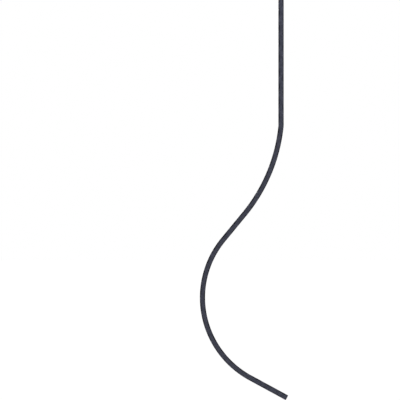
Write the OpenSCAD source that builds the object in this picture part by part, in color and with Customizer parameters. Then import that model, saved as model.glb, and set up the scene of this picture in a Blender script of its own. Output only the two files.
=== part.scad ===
// A hand rail baluster of square wrought iron bar. The bar stands straight, turns at a sharp bend,
// swings out to one side, rounds a wide belly and comes back to a straight slanting foot.
// All four corners are hammered: a row of hollow marks runs down each one.
// The bar lies in the XZ plane. The origin is the middle of the top end, and the bar runs down from it.

/* [Bar] */
// Side of the square bar
bar_w = 12; // [10:0.5:16]
// Height from the lowest corner of the foot to the top end
overall_h = 900; // [850:5:1250]

/* [Bends] */
// Turn of the sharp bend below the straight run, in degrees
elbow_turn = 6; // [2:0.5:10]
// Radius of the sharp bend, on the bar's centre line
elbow_r = 38; // [30:1:80]
// Turn of the wide upper bend, in degrees
upper_turn = 33.5; // [25:0.5:40]
// Radius of the wide upper bend, on the bar's centre line
upper_r = 370; // [280:1:430]
// Length of the straight between the upper bend and the belly
middle_run_l = 74; // [40:1:120]
// Turn of the belly, in degrees
belly_turn = 101; // [85:0.5:110]
// Radius of the belly, on the bar's centre line
belly_r = 205; // [160:1:240]
// Length of the straight foot
foot_run_l = 94; // [60:1:150]

/* [Hammering] */
// Distance from one hammer mark to the next along a corner
mark_pitch = 33.7; // [26:0.1:42]
// How far the middle of a mark cuts into each of the two faces that meet at the corner
mark_depth = 2.4; // [1:0.1:3]
// Length of sharp corner left between two marks
mark_land = 0.8; // [0.4:0.1:2]

/* [Hidden] */

// Colour of the dark iron
iron_colour = "#40434f";

// The outline of a bend has this many steps to each hammer mark. One falls in the middle of every land.
steps_per_mark = 6;
// Sides of the circles that shape a mark, along the bar and round it
mark_bow_sides = 180;
mark_round_sides = 32;

// Where the first land lies below the top end, as a share of the pitch
first_land_share = 0.33;
// How many of those steps the second pair of corners lags behind the first
pair_lag_steps = 2;
// The four corners: side of the bend's plane, face in Y, and lag. Opposite corners are struck alike.
CORNERS = [
    [-1, -1, 0],
    [1, 1, 0],
    [1, -1, pair_lag_steps],
    [-1, 1, pair_lag_steps]
];

// How far a mark's axis lies outside the corner, measured square to each face
mark_axis_out = 0.25;
// From the middle of a mark to each of its two ends on the corner
mark_reach = (mark_pitch - mark_land) / 2;
// A mark's cutter runs on a little past the corner, but stops short of the next one
mark_cutter_l = mark_pitch - mark_land / 2;
// Radius of the cutter where it leaves the corner, and in its middle
mark_end_r = norm([mark_axis_out, mark_axis_out]);
mark_mid_r = norm([mark_depth + mark_axis_out, mark_axis_out]);

// Unit vectors in the XZ plane for a bar that leans by a heading from straight down towards -X:
// along the bar, and square to it on its +X side
function along(heading) = [-sin(heading), -cos(heading)];
function across(heading) = [cos(heading), -sin(heading)];

// A run of bar is its length and its turn
function bend(radius, turn) = [radius * abs(turn) * PI / 180, turn];
function straight(length) = [length, 0];

// Where the bar has got to after a run that starts at a point with a heading
function after_run(point, heading, run) =
    run[1] == 0
        ? point + run[0] * along(heading)
        : point + run[0] * 180 / (run[1] * PI) * (across(heading + run[1]) - across(heading));

// Point, heading and distance along the bar at the start of each run, and at the end of the last
function run_starts(runs) = [
    for (
        i = 0, point = [0, 0], heading = 0, station = 0;
        i <= len(runs);
        point = i < len(runs) ? after_run(point, heading, runs[i]) : point,
        heading = i < len(runs) ? heading + runs[i][1] : heading,
        station = i < len(runs) ? station + runs[i][0] : station,
        i = i + 1
    )
        [point, heading, station]
];

// The shaped part below the straight run, and how far it reaches down
shaped_runs = [
    bend(elbow_r, elbow_turn),
    bend(upper_r, upper_turn),
    straight(middle_run_l),
    bend(belly_r, -belly_turn),
    straight(foot_run_l)
];
shaped_end = run_starts(shaped_runs)[len(shaped_runs)];
foot_heading = shaped_end[1];
shaped_h = bar_w / 2 * abs(sin(foot_heading)) - shaped_end[0][1];

// The straight run takes up the rest of the height
top_run_l = overall_h - shaped_h;
RUNS = concat([straight(top_run_l)], shaped_runs);
STARTS = run_starts(RUNS);
bar_l = STARTS[len(RUNS)][2];

// The run that holds a distance along the bar. The first and the last go on past the bar's ends.
function run_at(station) = max([for (i = [0:len(RUNS) - 1]) if (i == 0 || STARTS[i][2] <= station) i]);

// The part of a run that lies before a distance along the bar, and the heading there
function begun_run(station) =
    let (i = run_at(station), done = station - STARTS[i][2])
    [done, RUNS[i][1] * done / RUNS[i][0]];
function heading_at(station) = STARTS[run_at(station)][1] + begun_run(station)[1];

// A point on the side of the bar, at a distance along its centre line
function side_point(station, side) =
    let (start = STARTS[run_at(station)])
    after_run(start[0], start[1], begun_run(station)) + side * bar_w / 2 * across(heading_at(station));

// The middle of the first land, and the step from one point of a bend's outline to the next
first_land = first_land_share * mark_pitch;
outline_step = mark_pitch / steps_per_mark;

// Whether the bar turns within one step of a distance along it
function turns_near(station) =
    heading_at(station - outline_step) != heading_at(station + outline_step);

// Distances along the bar at which its outline has a point: the two ends, and the steps on the bends
outline_stations = concat(
    [0],
    [for (station = [first_land:outline_step:bar_l]) if (turns_near(station)) station],
    [bar_l]
);
last_point = len(outline_stations) - 1;

module plain_bar() {
    outline = concat(
        [for (i = [0:last_point]) side_point(outline_stations[i], 1)],
        [for (i = [last_point:-1:0]) side_point(outline_stations[i], -1)]
    );
    rotate([90, 0, 0])
        linear_extrude(height = bar_w, center = true)
            polygon(outline);
}

// A slender spindle along Z, with the given radius in its middle
module mark_cutter(mid_r) {
    rise = mid_r - mark_end_r;
    bow_r = (mark_reach * mark_reach + rise * rise) / (2 * rise);
    rotate_extrude($fn = mark_round_sides)
        intersection() {
            translate([mid_r - bow_r, 0])
                circle(r = bow_r, $fn = mark_bow_sides);
            translate([0, -mark_cutter_l / 2])
                square([mid_r + mark_axis_out, mark_cutter_l]);
        }
}

// One mark, struck on a corner at a distance along the bar. Its axis joins the two ends of the mark.
// On a bend the corner bows away from that axis, and half of the bow is taken off the cutter.
module hammer_mark(station, side, face) {
    from = side_point(station - mark_reach, side);
    to = side_point(station + mark_reach, side);
    heading = atan2(from[0] - to[0], from[1] - to[1]);
    middle = (from + to) / 2;
    bow = side * (side_point(station, side) - middle) * across(heading);
    axis = middle + side * mark_axis_out * across(heading);
    translate([axis[0], face * (bar_w / 2 + mark_axis_out), axis[1]])
        rotate([0, heading, 0])
            mark_cutter(mark_mid_r - bow / 2);
}

module hammer_marks() {
    for (corner = CORNERS) {
        first = first_land + corner[2] * outline_step - mark_pitch / 2;
        for (station = [first:mark_pitch:bar_l + mark_reach - mark_land])
            hammer_mark(station, corner[0], corner[1]);
    }
}

module hammered_bar() {
    color(iron_colour)
        difference() {
            plain_bar();
            hammer_marks();
        }
}

hammered_bar();
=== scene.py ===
import math

import bpy
import numpy as np
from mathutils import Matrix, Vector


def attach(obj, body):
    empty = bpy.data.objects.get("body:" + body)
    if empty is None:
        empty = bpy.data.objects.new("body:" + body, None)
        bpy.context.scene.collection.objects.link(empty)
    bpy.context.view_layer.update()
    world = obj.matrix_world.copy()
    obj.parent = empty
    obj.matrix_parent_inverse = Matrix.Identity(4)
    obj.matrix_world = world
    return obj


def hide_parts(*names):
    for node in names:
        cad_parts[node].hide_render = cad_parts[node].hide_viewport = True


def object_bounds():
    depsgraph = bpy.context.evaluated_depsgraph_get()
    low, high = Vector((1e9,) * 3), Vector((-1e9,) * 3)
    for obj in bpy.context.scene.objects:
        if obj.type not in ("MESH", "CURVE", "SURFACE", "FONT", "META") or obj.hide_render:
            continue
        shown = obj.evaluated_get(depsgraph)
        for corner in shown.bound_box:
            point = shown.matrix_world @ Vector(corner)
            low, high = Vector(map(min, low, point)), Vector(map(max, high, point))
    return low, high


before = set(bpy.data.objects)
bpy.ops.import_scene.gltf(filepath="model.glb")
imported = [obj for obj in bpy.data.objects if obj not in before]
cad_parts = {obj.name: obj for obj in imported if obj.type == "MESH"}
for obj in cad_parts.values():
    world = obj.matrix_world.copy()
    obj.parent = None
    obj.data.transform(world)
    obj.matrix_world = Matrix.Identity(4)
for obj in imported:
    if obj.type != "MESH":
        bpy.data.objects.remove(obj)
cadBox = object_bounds()
cadHeight = cadBox[1][2] - cadBox[0][2]
cadMiddle = (np.array(cadBox[0]) + np.array(cadBox[1])) / 2
print("stage: frame loaded")

metre = 1.0
milli = 0.001 * metre
fullTurn = 2 * math.pi
quarterTurn = math.pi / 2
white = (1.0, 1.0, 1.0, 1.0)

# The baluster's line: lengths and radii on the centre line, turns in degrees.
line = {
    "barWidth": 12 * milli,
    "elbowTurn": 6.0,
    "elbowRadius": 38 * milli,
    "upperTurn": 33.5,
    "upperRadius": 370 * milli,
    "middleRun": 74 * milli,
    "bellyTurn": -101.0,
    "bellyRadius": 205 * milli,
    "footRun": 94 * milli,
}

# The hammering: one row of hollow marks down each corner.
hammering = {
    "pitch": 33.7 * milli,
    "cut": 2.4 * milli,            # how far a mark cuts into each face
    "land": 0.8 * milli,           # sharp corner left between two marks
    "axisOut": 0.25 * milli,       # from the corner out to the axis of the marks, square to each face
    "firstLand": 0.33,             # share of the pitch
    "pairLag": 1 / 3,              # share of the pitch, second pair of corners behind the first
    "depthSpread": 0.05,           # how much one mark differs from the next
    "differentMarks": 64,
    "seed": 11,
}

# The mesh of the bar.
skin = {
    "rowsPerMark": 30,
    "hollowSteps": 9,
    "faceSteps": 3,
    "cornerRadius": 0.3 * milli,   # of the lands
    "landFade": 3,                 # a land's wear ends where the cut is this many corner radii deep
    "edgeRadius": 0.28 * milli,    # between a face and a mark
    "edgeShare": 0.3,              # of the cut that this round takes at most
    "ridgeWear": (1.0, 0.5),       # on that round, and beside it in the hollow
    "endChamfer": 0.35 * milli,
    "endRings": (0.7, 0.3),        # rings on the end faces, as shares of the section
    "wave": 0.05 * milli,          # unevenness of the flats, inwards only
    "waveLength": 21 * milli,
    "waves": ((1.0, 2), (0.37, -3), (1.71, 1)),    # how often along a wave length, and round the bar
}


def arcRun(radius, degrees):
    # An arc is as long as its radius times its turn in radians.
    turn = math.radians(degrees)
    return radius * abs(turn), turn


def straightRun(length):
    # A straight is as long as it says, and has no turn.
    return length, 0.0


def walk(runs):
    # Depth, x and heading at the start of each run and at the end of the last. A straight adds its length
    # times (cos, -sin) of the heading; a bend adds its radius times the change in (sin, cos) of it.
    places = [(0.0, 0.0, 0.0)]
    for length, turn in runs:
        depth, x, heading = places[-1]
        if turn == 0:
            places.append((depth + length * math.cos(heading), x - length * math.sin(heading), heading))
        else:
            radius = length / turn
            after = heading + turn
            places.append((
                depth + radius * (math.sin(after) - math.sin(heading)),
                x + radius * (math.cos(after) - math.cos(heading)),
                after,
            ))
    return places


def runTable():
    # Length and turn of each run from the top end down. The first straight takes up the rest of the height.
    shaped = [
        arcRun(line["elbowRadius"], line["elbowTurn"]),
        arcRun(line["upperRadius"], line["upperTurn"]),
        straightRun(line["middleRun"]),
        arcRun(line["bellyRadius"], line["bellyTurn"]),
        straightRun(line["footRun"]),
    ]
    drop, _, heading = walk(shaped)[-1]
    shapedHeight = drop + line["barWidth"] / 2 * abs(math.sin(heading))
    return [straightRun(cadHeight - shapedHeight)] + shaped


runs = runTable()
places = np.array(walk(runs))
runLengths = np.array([run[0] for run in runs])
runTurns = np.array([run[1] for run in runs])
runStarts = np.concatenate([[0.0], np.cumsum(runLengths)])
barLength = runStarts[-1]


def centreLine(stations):
    # x, z and heading at distances along the bar, by the same rule as walk, for a whole array at once.
    which = np.clip(np.searchsorted(runStarts, stations, side="right") - 1, 0, len(runs) - 1)
    done = stations - runStarts[which]
    bending = runTurns[which] / runLengths[which]
    depth, x, heading = places[which].T
    after = heading + bending * done
    straight = bending == 0
    safe = np.where(straight, 1.0, bending)
    z = -depth - np.where(straight, done * np.cos(heading), (np.sin(after) - np.sin(heading)) / safe)
    x = x + np.where(straight, -done * np.sin(heading), (np.cos(after) - np.cos(heading)) / safe)
    return x, z, after


def markCut(stations, lagShare, seed):
    # How far the marks of one corner cut into the faces. The axis of a mark lies just outside the corner,
    # and its radius follows a circle's bow from end to end. Cut = the root of (radius squared - axisOut
    # squared) - axisOut, and nothing on the lands. Each mark is a little deeper or shallower than the next.
    pitch, axisOut = hammering["pitch"], hammering["axisOut"]
    reach = (pitch - hammering["land"]) / 2
    first = (hammering["firstLand"] + lagShare) * pitch
    turns = (stations - first) / pitch
    index = np.floor(turns).astype(int)
    fromMiddle = (turns - index - 0.5) * pitch
    spread = np.random.default_rng(seed).uniform(-1, 1, hammering["differentMarks"])
    cut = hammering["cut"] * (1 + hammering["depthSpread"] * spread[index % len(spread)])
    endRadius = axisOut * math.sqrt(2)
    middleRadius = np.hypot(cut + axisOut, axisOut)
    rise = middleRadius - endRadius
    bow = (reach ** 2 + rise ** 2) / (2 * rise)
    radius = np.sqrt(np.maximum(bow ** 2 - fromMiddle ** 2, 0)) - (bow - middleRadius)
    inside = np.abs(fromMiddle) < reach
    return np.where(inside, np.sqrt(np.maximum(radius ** 2 - axisOut ** 2, 0)) - axisOut, 0.0)


def cornerPoints(cut):
    # Columns of one corner, from the face before it to the face after it, as insets from the corner along
    # the two faces: a quarter circle about the corner where a mark is, a rounded corner on a land, and a
    # small round where a mark's hollow meets a face. Hollow point = size times (cos, sin) of its angle,
    # and on a land the same bow lies on the other side of the chord. With them, how worn each point is,
    # and how much painted shade it takes in the hollow: the root of the cut's share of the full cut times
    # the sine of twice the angle.
    size = np.maximum(cut, skin["cornerRadius"])[:, None]
    hollow = np.clip((cut[:, None] - skin["cornerRadius"]) / skin["cornerRadius"], -1, 1)
    edgeRound = np.minimum(skin["edgeRadius"], skin["edgeShare"] * size)
    pull = edgeRound * (1 - math.sqrt(0.5)) * np.maximum(hollow, 0)
    share = np.linspace(0, 1, skin["hollowSteps"])[None, :]
    start = edgeRound / size
    angle = start + (quarterTurn - 2 * start) * share
    chord = np.stack([size * (1 - angle / quarterTurn), size * angle / quarterTurn], axis=-1)
    arc = np.stack([size * np.cos(angle), size * np.sin(angle)], axis=-1)
    middle = chord + hollow[..., None] * (arc - chord)
    nothing = np.zeros_like(size)
    before = np.stack([np.hstack([size + edgeRound, size + pull]), np.hstack([nothing, pull])], axis=-1)
    after = np.stack([np.hstack([pull, nothing]), np.hstack([size + pull, size + edgeRound])], axis=-1)
    points = np.concatenate([before, middle, after], axis=1)

    count = points.shape[1]
    onRidge, besideRidge = skin["ridgeWear"]
    ridge = np.zeros(count)
    ridge[[1, 2, -3, -2]] = onRidge, besideRidge, besideRidge, onRidge
    offFace = np.ones(count)
    offFace[[0, -1]] = 0.0
    land = 1 - np.clip(cut / (skin["landFade"] * skin["cornerRadius"]), 0, 1)
    edge = np.maximum(ridge, land[:, None] * offFace)
    inHollow = np.zeros_like(edge)
    # How strongly each hollow point is darkened by painted shade.
    inHollow[:, 2:-2] = np.sqrt((cut / hammering["cut"])[:, None] * np.sin(angle * 2))
    return points, edge, inHollow


def sectionGrid(stations):
    # The section at each station: four corners joined by flats, as offsets across the bar and along Y.
    half = line["barWidth"] / 2
    lag = hammering["pairLag"]
    # Corners in turn round the bar: sign across, sign in Y, lag of its pair.
    corners = [(-1, -1, 0.0), (1, -1, lag), (1, 1, 0.0), (-1, 1, lag)]
    blocks = []
    for number, (across, inY, cornerLag) in enumerate(corners):
        cut = markCut(stations, cornerLag, hammering["seed"] + number)
        insets, edge, inHollow = cornerPoints(cut)
        if number % 2 == 0:
            insets = insets[..., ::-1]
        u = across * (half - insets[..., 0])
        v = inY * (half - insets[..., 1])
        blocks.append(np.stack([u, v, edge, inHollow], axis=-1))
    columns = []
    steps = np.arange(1, skin["faceSteps"] + 1) / (skin["faceSteps"] + 1)
    for number, block in enumerate(blocks):
        following = blocks[(number + 1) % len(blocks)]
        start, end = block[:, -1:, :], following[:, :1, :]
        flat = start + (end - start) * steps[None, :, None]
        columns += [block, flat]
    return np.concatenate(columns, axis=1)


def unevenness(stations, columns):
    # A slow wave along the bar and round it, between 0 and 1: half, plus the mean of the sines over two.
    phases = np.random.default_rng(hammering["seed"]).uniform(0, fullTurn, len(skin["waves"]))
    along = stations[:, None] / skin["waveLength"] * fullTurn
    roundBar = np.arange(columns)[None, :] / columns * fullTurn
    total = 0.0
    for (oftenAlong, oftenRound), phase in zip(skin["waves"], phases):
        total = total + np.sin(oftenAlong * along + oftenRound * roundBar + phase)
    return 0.5 + total / (2 * len(skin["waves"]))


def skinFaces(rows, columns):
    # Quads between neighbouring rows and columns, and a fan of triangles about the middle of each end.
    row = np.arange(rows - 1)[:, None] * columns
    column = np.arange(columns)[None, :]
    following = (column + 1) % columns
    below = row + columns
    quads = np.stack([row + column, below + column, below + following, row + following], axis=-1)
    last = (rows - 1) * columns
    ring = np.arange(columns)
    ringNext = (ring + 1) % columns
    topFan = np.stack([np.full(columns, rows * columns), ring, ringNext], axis=-1)
    footFan = np.stack([np.full(columns, rows * columns + 1), last + ringNext, last + ring], axis=-1)
    return quads.reshape(-1, 4).tolist() + topFan.tolist() + footFan.tolist()


def addPointValue(mesh, name, values):
    attribute = mesh.attributes.new(name, "FLOAT", "POINT")
    attribute.data.foreach_set("value", np.asarray(values, np.float32))


def barRows():
    # Distances along the bar of the rows of points, and the scale of the section at each. One row falls in
    # the middle of every land. Each end has a chamfer, its rim, and the rings on the cut face.
    spacing = hammering["pitch"] / skin["rowsPerMark"]
    offset = (hammering["firstLand"] * hammering["pitch"]) % spacing
    chamfer = skin["endChamfer"]
    inner = np.arange(offset, barLength, spacing)
    inner = inner[(inner > 2 * chamfer) & (inner < barLength - 2 * chamfer)]
    chamfered = 1 - chamfer / (line["barWidth"] / 2)
    footScales = [1, chamfered, *skin["endRings"]]
    footStations = [barLength - chamfer, barLength, barLength, barLength]
    stations = np.concatenate([[0, 0, 0, chamfer], inner, footStations])
    scales = np.concatenate([footScales[::-1], np.ones(len(inner)), footScales])
    return stations, scales


def buildBar():
    # The bar's skin: the section carried square along the centre line, with a small chamfer and a flat at
    # each end. Point = centre line + u times the unit vector across the bar + v along Y.
    stations, scales = barRows()
    grid = sectionGrid(stations)
    rows, columns = grid.shape[:2]
    shrink = scales[:, None] * (1 - skin["wave"] / (line["barWidth"] / 2) * unevenness(stations, columns))
    u, v = grid[..., 0] * shrink, grid[..., 1] * shrink
    x, z, heading = centreLine(stations)
    points = np.stack([
        x[:, None] + u * np.cos(heading)[:, None],
        v,
        z[:, None] - u * np.sin(heading)[:, None],
    ], axis=-1).reshape(-1, 3)
    endMiddles = np.array([[x[0], 0, z[0]], [x[-1], 0, z[-1]]])

    mesh = bpy.data.meshes.new("balusterBar")
    mesh.from_pydata(np.concatenate([points, endMiddles]).tolist(), [], skinFaces(rows, columns))
    mesh.shade_smooth()
    mesh.update()
    atEnd = np.repeat((scales < 1)[:, None], columns, axis=1)
    addPointValue(mesh, "edge", np.append(np.where(atEnd, 0, grid[..., 2]), [0, 0]))
    addPointValue(mesh, "hollow", np.append(np.where(atEnd, 0, grid[..., 3]), [0, 0]))
    addPointValue(mesh, "sawn", np.append(atEnd, [1, 1]))
    piece = bpy.data.objects.new("balusterBar", mesh)
    bpy.context.scene.collection.objects.link(piece)
    return piece


# The finish of the iron. Scales are features in a metre, and heights are in millimetres. A pair of limits
# says where in its noise a mask begins and where it is full. Each noise has its detail and roughness.
finish = {
    "colour": (0.0318, 0.0340, 0.0495, 1.0),
    "paleColour": (0.0508, 0.0535, 0.0750, 1.0),
    "paintedShadeColour": (0.0085, 0.0092, 0.0135, 1.0),   # painted shade in the hollows
    "edgeColour": (0.120, 0.123, 0.142, 1.0),      # rubbed ridges and lands
    "sawnColour": (0.080, 0.082, 0.096, 1.0),      # the two cut ends
    "metallic": 0.8,
    "roughness": 0.44,
    "roughnessSpread": 0.10,
    "specular": 0.45,
    "clouds": 220.0,
    "cloudNoise": (5.0, 0.6),
    "cloudLimits": (0.34, 0.66),
    "dents": 150.0,
    "dentNoise": (1.0, 0.4),
    "dentHeight": 0.15,
    "pits": 520.0,
    "pitNoise": (2.0, 0.5),
    "pitLimits": (0.26, 0.42),
    "pitHeight": 0.05,
    "grain": 2600.0,
    "grainNoise": (2.0, 0.6),
    "grainHeight": 0.016,
    "edgeWear": 0.45,
    "fullWear": 0.8,                               # cloud at which the wear is whole
    "leastWear": 0.15,                             # share of the wear left on the darkest clouds
    "hollowShade": 1.0,
    "hollowMetallic": 1.0,                         # painted shade: all metal, so the dark colour dims reflections in the hollows too
    "hollowDullness": 0.25,                        # added to the roughness in the hollows
    "sawLines": (40.0, 1700.0, 40.0),              # drawn out along X and Z
    "sawNoise": (2.0, 0.5),
    "sawLimits": (0.35, 0.65),
    "sawShades": (0.25, 0.85),                     # how bare the cut faces are between and on the lines
    "sawHeight": 0.03,
}


def newGroup(name, inputs, outputs):
    # An empty node group with its named sockets, and the two nodes that its own nodes hang between.
    group = bpy.data.node_groups.new(name, "ShaderNodeTree")
    for socket, kind, value in inputs:
        made = group.interface.new_socket(name=socket, in_out="INPUT", socket_type=kind)
        made.default_value = value
    for socket, kind in outputs:
        group.interface.new_socket(name=socket, in_out="OUTPUT", socket_type=kind)
    start = group.nodes.new("NodeGroupInput")
    end = group.nodes.new("NodeGroupOutput")
    return group, start, end


def plugIn(tree, socket, value):
    # A number or colour is set on the socket, and another node's output is linked to it.
    if isinstance(value, bpy.types.NodeSocket):
        tree.links.new(value, socket)
    else:
        socket.default_value = value


def addNoise(tree, coordinates, scale, detailAndRoughness):
    noise = tree.nodes.new("ShaderNodeTexNoise")
    plugIn(tree, noise.inputs["Vector"], coordinates)
    plugIn(tree, noise.inputs["Scale"], scale)
    for name, number in zip(("Detail", "Roughness"), detailAndRoughness):
        noise.inputs[name].default_value = number
    return noise.outputs["Fac"]


def addMath(tree, operation, first, second, clamp=False):
    node = tree.nodes.new("ShaderNodeMath")
    node.operation = operation
    node.use_clamp = clamp
    plugIn(tree, node.inputs[0], first)
    plugIn(tree, node.inputs[1], second)
    return node.outputs[0]


def addRange(tree, value, limits, results=(0.0, 1.0)):
    # Takes a value between two limits smoothly over to a value between two results.
    node = tree.nodes.new("ShaderNodeMapRange")
    node.interpolation_type = "SMOOTHSTEP"
    names = ("Value", "From Min", "From Max", "To Min", "To Max")
    for name, number in zip(names, (value, *limits, *results)):
        plugIn(tree, node.inputs[name], number)
    return node.outputs["Result"]


def addMix(tree, factor, first, second):
    node = tree.nodes.new("ShaderNodeMix")
    node.data_type = "RGBA"
    colours = [socket for socket in node.inputs if socket.type == "RGBA"]
    plugIn(tree, node.inputs["Factor"], factor)
    plugIn(tree, colours[0], first)
    plugIn(tree, colours[1], second)
    return [socket for socket in node.outputs if socket.type == "RGBA"][0]


def forgeScaleGroup():
    # Forged iron, from four noises of different scale: a mask of clouds between 0 and 1, and a height, the
    # sum of the dents, the pits and the grain, each times its own height.
    inputs = [("Vector", "NodeSocketVector", (0, 0, 0))]
    for name, key in (
        ("Clouds", "clouds"), ("Dents", "dents"), ("Pits", "pits"), ("Grain", "grain"),
        ("Dent height", "dentHeight"), ("Pit height", "pitHeight"), ("Grain height", "grainHeight"),
    ):
        inputs.append((name, "NodeSocketFloat", finish[key]))
    outputs = [("Cloud", "NodeSocketFloat"), ("Height", "NodeSocketFloat")]
    group, start, end = newGroup("forgeScale", inputs, outputs)
    given = start.outputs
    clouds = addNoise(group, given["Vector"], given["Clouds"], finish["cloudNoise"])
    dents = addNoise(group, given["Vector"], given["Dents"], finish["dentNoise"])
    holes = addNoise(group, given["Vector"], given["Pits"], finish["pitNoise"])
    pits = addRange(group, holes, finish["pitLimits"])
    grain = addNoise(group, given["Vector"], given["Grain"], finish["grainNoise"])
    height = addMath(group, "MULTIPLY", dents, given["Dent height"])
    for mask, name in ((pits, "Pit height"), (grain, "Grain height")):
        height = addMath(group, "ADD", height, addMath(group, "MULTIPLY", mask, given[name]))
    group.links.new(addRange(group, clouds, finish["cloudLimits"]), end.inputs["Cloud"])
    group.links.new(height, end.inputs["Height"])
    return group


def readPointValue(tree, name):
    node = tree.nodes.new("ShaderNodeAttribute")
    node.attribute_name = name
    return node.outputs["Fac"]


def ironMaterial():
    # Dark blue-grey iron: clouded, with painted shade darkening the hollows, which are also duller, rubbed
    # paler on the ridges, dented, pitted and grained, with saw lines across the two cut ends.
    material = bpy.data.materials.new("hammeredIron")
    material.use_nodes = True
    tree = material.node_tree
    shader = tree.nodes["Principled BSDF"]
    coordinates = tree.nodes.new("ShaderNodeTexCoord").outputs["Object"]
    scale = tree.nodes.new("ShaderNodeGroup")
    scale.node_tree = forgeScaleGroup()
    tree.links.new(coordinates, scale.inputs["Vector"])
    cloud, height = scale.outputs["Cloud"], scale.outputs["Height"]
    edge, hollow, sawn = (readPointValue(tree, name) for name in ("edge", "hollow", "sawn"))

    stretch = tree.nodes.new("ShaderNodeMapping")
    stretch.inputs["Scale"].default_value = finish["sawLines"]
    tree.links.new(coordinates, stretch.inputs["Vector"])
    sawLines = addNoise(tree, stretch.outputs["Vector"], 1.0, finish["sawNoise"])

    clouded = addMix(tree, cloud, finish["colour"], finish["paleColour"])
    # Painted shade: the hollows are mixed towards a dark colour, as if shade fell in them.
    shade = addMath(tree, "MULTIPLY", hollow, finish["hollowShade"], clamp=True)
    shaded = addMix(tree, shade, clouded, finish["paintedShadeColour"])
    patches = addRange(tree, cloud, (0.0, finish["fullWear"]), (finish["leastWear"], 1.0))
    patchy = addMath(tree, "MULTIPLY", edge, patches)
    worn = addMath(tree, "MULTIPLY", patchy, finish["edgeWear"], clamp=True)
    edged = addMix(tree, worn, shaded, finish["edgeColour"])
    sawShade = addRange(tree, sawLines, finish["sawLimits"], finish["sawShades"])
    bare = addMath(tree, "MULTIPLY", sawn, sawShade)
    tree.links.new(addMix(tree, bare, edged, finish["sawnColour"]), shader.inputs["Base Color"])

    spread = finish["roughnessSpread"] / 2
    dullest, brightest = finish["roughness"] + spread, finish["roughness"] - spread
    dullness = addRange(tree, cloud, (0.0, 1.0), (dullest, brightest))
    polished = addMath(tree, "MULTIPLY", worn, spread)
    hollowDulling = addMath(tree, "MULTIPLY", shade, finish["hollowDullness"])
    roughness = addMath(tree, "ADD", addMath(tree, "SUBTRACT", dullness, polished), hollowDulling)
    tree.links.new(roughness, shader.inputs["Roughness"])
    # Painted shade on the reflections too: the hollows turn fully metallic, so their dark colour dims what
    # they reflect.
    metallic = addRange(tree, shade, (0.0, 1.0), (finish["metallic"], finish["hollowMetallic"]))
    tree.links.new(metallic, shader.inputs["Metallic"])
    shader.inputs["Specular IOR Level"].default_value = finish["specular"]

    sawHeight = addMath(tree, "MULTIPLY", addMath(tree, "MULTIPLY", sawLines, finish["sawHeight"]), sawn)
    bump = tree.nodes.new("ShaderNodeBump")
    bump.inputs["Distance"].default_value = milli
    tree.links.new(addMath(tree, "ADD", height, sawHeight), bump.inputs["Height"])
    tree.links.new(bump.outputs["Normal"], shader.inputs["Normal"])
    return material


# The photograph's frame: the rows of pixels on which the top end and the lowest corner of the foot lie, and
# the column of the straight run's centre line.
photo = {
    "pixels": 400,
    "topRow": -0.3,
    "footRow": 400.1,
    "straightRunColumn": 281.03,
    "cameraDistance": 9.0 * metre,
    "farthestSeen": 100 * metre,
    "sensor": 36.0,                # millimetres, as the lens is
}


def placeCamera():
    # Lens = sensor times distance over what the frame spans, which is its pixels times the size of one.
    pixelSize = cadHeight / (photo["footRow"] - photo["topRow"])
    data = bpy.data.cameras.new("camera")
    data.sensor_width = photo["sensor"]
    data.lens = photo["sensor"] * photo["cameraDistance"] / (photo["pixels"] * pixelSize)
    data.clip_end = photo["farthestSeen"]
    camera = bpy.data.objects.new("camera", data)
    sideways = (photo["pixels"] / 2 - photo["straightRunColumn"]) * pixelSize
    level = cadBox[1][2] + (photo["topRow"] - photo["pixels"] / 2) * pixelSize
    camera.location = (sideways, -photo["cameraDistance"], level)
    camera.rotation_euler = (quarterTurn, 0, 0)
    bpy.context.scene.collection.objects.link(camera)
    bpy.context.scene.camera = camera


studio = {
    "floorDrop": 0.60 * metre,     # so far down that the lamps leave no glare behind the foot
    "floorReach": 60 * metre,
    "floorColour": (0.95, 0.95, 0.95, 1.0),
    "floorRoughness": 0.9,
    "floorShine": 0.0,
    "floorGlow": 0.74,             # its own light, so that it stays white out to the horizon
    "skyLight": 0.30,              # on the baluster
    "skySeen": 1.0,                # in the picture
    "lights": [
        # name, place and size in metres, watts
        ("keyLight", (1.0, -5.0, 2.2), 0.9, 115.0),
        ("sideLight", (-4.0, -0.8, 0.3), 1.8, 4.0),
        ("rimLight", (3.2, 2.0, 0.6), 1.6, 4.0),
        ("backLight", (-1.2, 4.8, 1.2), 1.8, 90.0),
    ],
}


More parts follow.
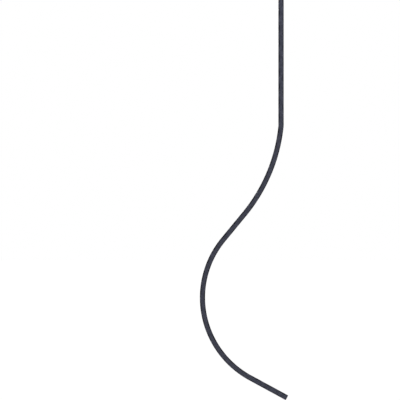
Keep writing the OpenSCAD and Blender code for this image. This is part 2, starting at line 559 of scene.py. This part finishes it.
def addLight(name, place, size, watts):
    # A square lamp that faces the middle of the baluster.
    data = bpy.data.lights.new(name, "AREA")
    data.shape = "SQUARE"
    data.size = size * metre
    data.energy = watts
    light = bpy.data.objects.new(name, data)
    place = np.array(place) * metre
    aim = cadMiddle - place
    light.location = place
    light.rotation_euler = (math.atan2(math.hypot(aim[0], aim[1]), -aim[2]), 0, math.atan2(-aim[0], aim[1]))
    bpy.context.scene.collection.objects.link(light)


def addFloor():
    # A plain pale square, level and well below the foot.
    reach = studio["floorReach"]
    low = cadBox[0][2] - studio["floorDrop"]
    corners = [(-reach, -reach, low), (reach, -reach, low), (reach, reach, low), (-reach, reach, low)]
    mesh = bpy.data.meshes.new("floor")
    mesh.from_pydata(corners, [], [(0, 1, 2, 3)])
    floor = bpy.data.objects.new("floor", mesh)
    bpy.context.scene.collection.objects.link(floor)
    material = bpy.data.materials.new("paleFloor")
    material.use_nodes = True
    shader = material.node_tree.nodes["Principled BSDF"]
    shader.inputs["Base Color"].default_value = studio["floorColour"]
    shader.inputs["Roughness"].default_value = studio["floorRoughness"]
    shader.inputs["Specular IOR Level"].default_value = studio["floorShine"]
    shader.inputs["Emission Color"].default_value = white
    shader.inputs["Emission Strength"].default_value = studio["floorGlow"]
    mesh.materials.append(material)


def addSky():
    # White where the camera sees it, and dimmer as a light.
    world = bpy.data.worlds.new("studio")
    world.use_nodes = True
    tree = world.node_tree
    background = tree.nodes["Background"]
    background.inputs["Color"].default_value = white
    seen = tree.nodes.new("ShaderNodeLightPath").outputs["Is Camera Ray"]
    strength = tree.nodes.new("ShaderNodeMapRange")
    tree.links.new(seen, strength.inputs["Value"])
    strength.inputs["To Min"].default_value = studio["skyLight"]
    strength.inputs["To Max"].default_value = studio["skySeen"]
    tree.links.new(strength.outputs["Result"], background.inputs["Strength"])
    bpy.context.scene.world = world


placeCamera()
print("stage: camera placed")

addFloor()
addSky()
for light in studio["lights"]:
    addLight(*light)
bpy.context.scene.view_settings.view_transform = "Standard"
print("stage: studio lit")

baluster = buildBar()
baluster.data.materials.append(ironMaterial())
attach(baluster, "root")
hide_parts("hammered_bar")
print("stage: bar built,", len(baluster.data.polygons), "faces")
